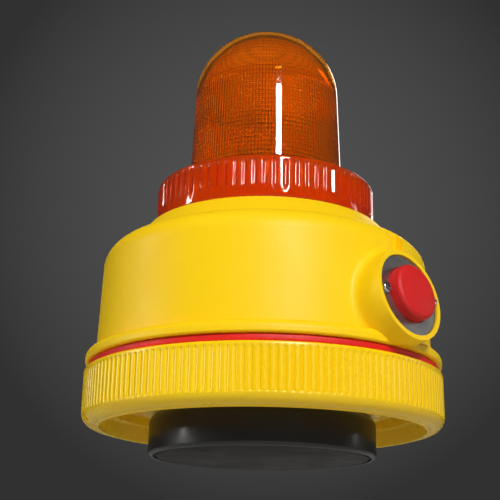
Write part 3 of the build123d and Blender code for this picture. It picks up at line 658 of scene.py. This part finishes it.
def cap_piece():
    piece = turned("cap_shell", cap_outline(), GRIP_FLUTES * 6, cap_radius)
    notch = turned("notch_tool", rounded([
        (0, CAP_BOTTOM_Z - 1 * MM, 0), (NOTCH_R, CAP_BOTTOM_Z - 1 * MM, 0),
        (NOTCH_R, CAP_BOTTOM_Z + NOTCH_DEPTH, 0.8 * MM), (0, CAP_BOTTOM_Z + NOTCH_DEPTH, 0),
    ]), 40)
    where = math.radians(NOTCH_ANGLE)
    reach = CAP_R - 1.6 * MM
    notch.data.transform(Matrix.Translation((reach * math.cos(where), reach * math.sin(where), 0)))
    cut(piece, notch, 60.0)
    return piece


# ---------------------------------------------------------------- seals and magnet
def gasket_piece():
    low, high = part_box("base_gasket")
    outline = rounded([
        (GASKET_BORE_R, low.z, 0.2 * MM), (high.x, low.z, 0.9 * MM),
        (high.x, high.z, 0.9 * MM), (GASKET_BORE_R, high.z, 0.2 * MM),
    ])
    return turned("base_seal", outline, 360)


def magnet_cup_piece():
    low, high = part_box("magnet_cup")
    bore = high.x - CUP_WALL
    roof = high.z - CUP_ROOF
    outline = rounded([
        (bore, low.z, 0.3 * MM), (high.x, low.z, 1.4 * MM), (high.x, high.z, 4.0 * MM),
        (CUP_SCREW_HOLE_R, high.z, 0), (CUP_SCREW_HOLE_R, roof, 0), (bore, roof, 0.6 * MM),
    ], steps=8)
    return turned("magnet_shell", outline, 360)


def magnet_disc_piece():
    low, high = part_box("magnet_disc")
    outline = rounded([(0, low.z, 0), (high.x, low.z, 0.5 * MM), (high.x, high.z, 0.3 * MM), (0, high.z, 0)])
    return turned("magnet_slab", outline, 360)


# ---------------------------------------------------------------- push button
def on_boss(piece):
    """Moves a piece made at the origin, axis +Z, on to the switch boss."""
    axis = Vector((math.cos(BOSS_TILT), 0, math.sin(BOSS_TILT)))
    side = Vector((0, 1, 0))
    up = axis.cross(side)
    place = Matrix((side, up, axis)).transposed().to_4x4()
    place.translation = BOSS_CENTRE
    piece.data.transform(place)
    return piece


def button_piece():
    rim_foot = BUTTON_RIM_Z - BUTTON_RIM_THICKNESS
    outline = rounded([
        (0, BUTTON_BORE_Z, 0), (BUTTON_SKIRT_R, BUTTON_BORE_Z, 0), (BUTTON_SKIRT_R, rim_foot, 0),
        (BUTTON_RIM_R, rim_foot, 0.2 * MM), (BUTTON_RIM_R, BUTTON_RIM_Z, 0.2 * MM),
        (BUTTON_R, BUTTON_RIM_Z, 0.2 * MM),
        (BUTTON_R, BUTTON_STANDOUT - 0.45 * MM, 1.7 * MM), (4.0 * MM, BUTTON_STANDOUT, 1.5 * MM),
        (0, BUTTON_STANDOUT, 0),
    ], steps=9)
    return on_boss(turned("button_cap", outline, 192))


# ---------------------------------------------------------------- lens
def crown(inset, steps):
    """Quarter ellipse from the dome's straight side to its apex."""
    wide, tall = DOME_TOP_R - inset, DOME_APEX_Z - DOME_SPRING_Z - inset
    angles = [math.pi / 2 * k / steps for k in range(steps + 1)]
    points = [Vector((wide * math.cos(a), DOME_SPRING_Z + tall * math.sin(a))) for a in angles]
    points[-1].x = 0.0
    return points


def lens_outline():
    """Closed (r, z) outline of the collar and dome, with rows for flutes, prisms and thread."""
    deck = DECK_TOP_Z - LENS_WALL
    skirt = rounded([
        (COLLAR_BORE_R, COLLAR_BOTTOM_Z, 0.3 * MM), (COLLAR_R, COLLAR_BOTTOM_Z, 0.5 * MM),
        (COLLAR_R, COLLAR_TOP_Z, 1.0 * MM), (DOME_FOOT_R, DECK_TOP_Z, 1.2 * MM),
        (DOME_TOP_R, DOME_SPRING_Z, 0),
    ], steps=4)[:-1]
    fluted = [COLLAR_FLUTE_Z[0] + step * MM for step in (0, 0.25, 0.6, 1.1)] + [95.0 * MM]
    fluted += [COLLAR_FLUTE_Z[1] - step * MM for step in (1.1, 0.6, 0.25, 0)]
    outer = []
    for here, after in zip(skirt, skirt[1:]):
        outer.append(here)
        if abs(here.x - COLLAR_R) < NEAR and abs(after.x - COLLAR_R) < NEAR:
            outer += [Vector((COLLAR_R, z)) for z in fluted if here.y < z < after.y]
    outer.append(skirt[-1])
    outer += spread(skirt[-1], (DOME_TOP_R, DOME_SPRING_Z), 6)
    side_top = Vector((DOME_TOP_R - LENS_WALL, DOME_SPRING_Z))
    side_foot = Vector((DOME_FOOT_R - LENS_WALL, deck))
    prisms = spread(side_top, side_foot, round(3 * (side_top.y - side_foot.y) / PRISM_PITCH))
    thread_rows = [Vector((COLLAR_BORE_R, LENS_THREAD_Z - 1.0 * MM + k * 0.42 * MM)) for k in range(22)]
    under_deck = [side_foot, Vector((COLLAR_BORE_R, COLLAR_TOP_Z - LENS_WALL))]
    inside = list(reversed(crown(LENS_WALL, 14))) + prisms + under_deck
    return outer + crown(0, 18) + inside + thread_rows[::-1]


def lens_radius(angle, r, z):
    """Collar flutes outside, pillow prisms inside the dome and the thread ridge in the collar."""
    if r > COLLAR_R - NEAR:
        part = (angle * COLLAR_FLUTES / TURN) % 1.0
        low, high = COLLAR_FLUTE_Z
        ends = min(1.0, max(0.0, min(z - low, high - z) / (0.6 * MM)))
        groove = 1.0 if part < COLLAR_FLUTE_SHARE else 0.0
        return r - COLLAR_FLUTE_DEPTH * groove * ends
    deck = DECK_TOP_Z - LENS_WALL
    inner_wall = DOME_TOP_R - LENS_WALL - NEAR < r < DOME_FOOT_R - LENS_WALL + NEAR
    if inner_wall and deck < z < DOME_SPRING_Z:
        across = (angle * PRISM_FLUTES / TURN) % 1.0
        along = ((z - deck) / PRISM_PITCH) % 1.0
        fade = min(1.0, (z - deck) / (2 * MM), (DOME_SPRING_Z - z) / (3 * MM))
        pillow = (1 - (2 * across - 1) ** 2 + 1 - (2 * along - 1) ** 2) / 2
        return r - PRISM_DEPTH * pillow * fade
    if abs(r - COLLAR_BORE_R) < NEAR:
        height = thread_height(angle, z, LENS_THREAD_Z, LENS_THREAD_TURNS, LENS_THREAD_PITCH)
        return r - LENS_THREAD_DEPTH * height
    return r


def lens_piece(dome_look, collar_look):
    piece = turned("lens_shell", lens_outline(), COLLAR_FLUTES * 8, lens_radius)
    soften(piece, 75.0)
    piece.data.materials.append(dome_look)
    piece.data.materials.append(collar_look)
    edge = DOME_FOOT_R + 0.6 * MM
    for face in piece.data.polygons:
        if math.hypot(face.center.x, face.center.y) > edge:
            face.material_index = 1
    return piece


# ---------------------------------------------------------------- assembly of the looks
finish_of = looks()
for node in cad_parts.values():
    slot_name = node.material_slots[0].material.name
    if slot_name in finish_of:
        node.material_slots[0].material = finish_of[slot_name]
for node_name, plus_up in (("cell_nub_up", True), ("cell_nub_down", False)):
    low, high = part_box(node_name)
    jacket = cell_wrap(node_name + "_look", low.z, high.z, plus_up)
    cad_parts[node_name].material_slots[0].material = jacket


def stand_in(piece, node, body, slot):
    """The piece rides on the body and is shown instead of the CAD node."""
    if not piece.data.materials:
        piece.data.materials.append(finish_of[slot])
    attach(piece, body)
    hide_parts(node)


stand_in(cap_piece(), "base_cap", "base", "cap_yellow")
stand_in(gasket_piece(), "base_gasket", "gasket_lift", "red_rubber")
stand_in(magnet_cup_piece(), "magnet_cup", "base", "black_coat")
stand_in(magnet_disc_piece(), "magnet_disc", "base", "ferrite")
stand_in(button_piece(), "push_button", "button", "button_red")
collar_look = lens_look("collar_look", srgb(255, 88, 2), srgb(250, 62, 2), 0.62, (0.03, 0.07))
stand_in(lens_piece(finish_of["lens_amber"], collar_look), "dome_lens", "lens", "lens_amber")


# ---------------------------------------------------------------- stage, lights and camera
def floor():
    mesh = bmesh.new()
    bmesh.ops.create_circle(mesh, cap_ends=True, radius=FLOOR_R, segments=96)
    made = as_object("floor", mesh)
    made.data.transform(Matrix.Translation((0, 0, FLOOR_Z)))
    look = Look("floor_look", srgb(206, 204, 200), Roughness=0.8)
    look.mottle(3.0, 0.3, srgb(198, 196, 192))
    made.data.materials.append(look.material)


def soft_light(name, azimuth, elevation, distance, size, power, aim_z, glossy=True):
    """Rectangular studio light on a bearing from the camera's own, aimed at the object's axis."""
    lamp = bpy.data.lights.new(name, "AREA")
    lamp.shape = "RECTANGLE"
    lamp.size, lamp.size_y = size
    lamp.energy = power
    made = bpy.data.objects.new(name, lamp)
    made.visible_glossy = glossy
    bearing, rise = math.radians(CAMERA_AZIMUTH + azimuth), math.radians(elevation)
    way = Vector((math.sin(bearing) * math.cos(rise), -math.cos(bearing) * math.cos(rise), math.sin(rise)))
    made.location = Vector((0, 0, aim_z)) + way * distance
    made.rotation_euler = way.to_track_quat("Z", "Y").to_euler()
    bpy.context.scene.collection.objects.link(made)


def surroundings():
    """Dark grey studio surround with a soft glow behind the object."""
    world = bpy.data.worlds.new("studio")
    bpy.context.scene.world = world
    world.use_nodes = True
    nodes, links = world.node_tree.nodes, world.node_tree.links
    place = nodes.new("ShaderNodeTexCoord")
    bearing, rise = math.radians(CAMERA_AZIMUTH), math.radians(GLOW_RISE)
    glow = nodes.new("ShaderNodeVectorMath")
    glow.operation = "DOT_PRODUCT"
    level = math.cos(rise)
    glow.inputs[1].default_value = (-math.sin(bearing) * level, math.cos(bearing) * level, math.sin(rise))
    links.new(place.outputs["Generated"], glow.inputs[0])
    ramp = nodes.new("ShaderNodeValToRGB")
    falloff = nodes.new("ShaderNodeMapRange")
    falloff.inputs["From Min"].default_value = math.cos(math.radians(GLOW_SPREAD))
    falloff.inputs["From Max"].default_value = 1.0
    links.new(glow.outputs["Value"], falloff.inputs["Value"])
    links.new(falloff.outputs["Result"], ramp.inputs["Fac"])
    ramp.color_ramp.elements[0].color = srgb(49, 49, 49)
    ramp.color_ramp.elements[1].color = srgb(80, 80, 80)
    links.new(ramp.outputs["Color"], nodes["Background"].inputs["Color"])


def camera():
    """Camera below the object's middle, looking up at the switch side."""
    turn = math.radians(CAMERA_AZIMUTH)
    yaw, pitch, roll = (math.radians(a) for a in (CAMERA_YAW, CAMERA_PITCH, CAMERA_ROLL))
    ahead = Vector((math.sin(yaw) * math.cos(pitch), math.cos(yaw) * math.cos(pitch), math.sin(pitch)))
    right = Vector((math.cos(yaw), -math.sin(yaw), 0))
    up = right.cross(ahead)
    across = right * math.cos(roll) + up * math.sin(roll)
    upright = up * math.cos(roll) - right * math.sin(roll)
    aim = Matrix((across, upright, -ahead)).transposed().to_4x4()
    lens = bpy.data.cameras.new("camera")
    lens.lens = CAMERA_LENS
    lens.clip_start = 0.01
    made = bpy.data.objects.new("camera", lens)
    bpy.context.scene.collection.objects.link(made)
    spin = Matrix.Rotation(turn, 4, "Z")
    made.matrix_world = spin @ Matrix.Translation((0, -CAMERA_DISTANCE, CAMERA_Z)) @ aim
    bpy.context.scene.camera = made


floor()
surroundings()
camera()
# name, bearing from the camera, elevation, distance, size, watts, height aimed at
soft_light("front_light", 19, 26, 1.1, (0.13, 0.22), 9.0, 0.10)
soft_light("high_fill", -25, 50, 1.6, (1.6, 1.2), 6.0, 0.06, glossy=False)
soft_light("left_light", -82, 11, 1.0, (0.10, 0.36), 2.4, 0.09)
soft_light("right_light", 103, 11, 1.0, (0.05, 0.36), 0.5, 0.09)
soft_light("rim_light", 160, 25, 1.2, (0.12, 0.5), 0.8, 0.09)
soft_light("back_fill", 180, 40, 1.6, (1.4, 1.0), 3.0, 0.06, glossy=False)
bpy.context.scene.view_settings.view_transform = "Standard"
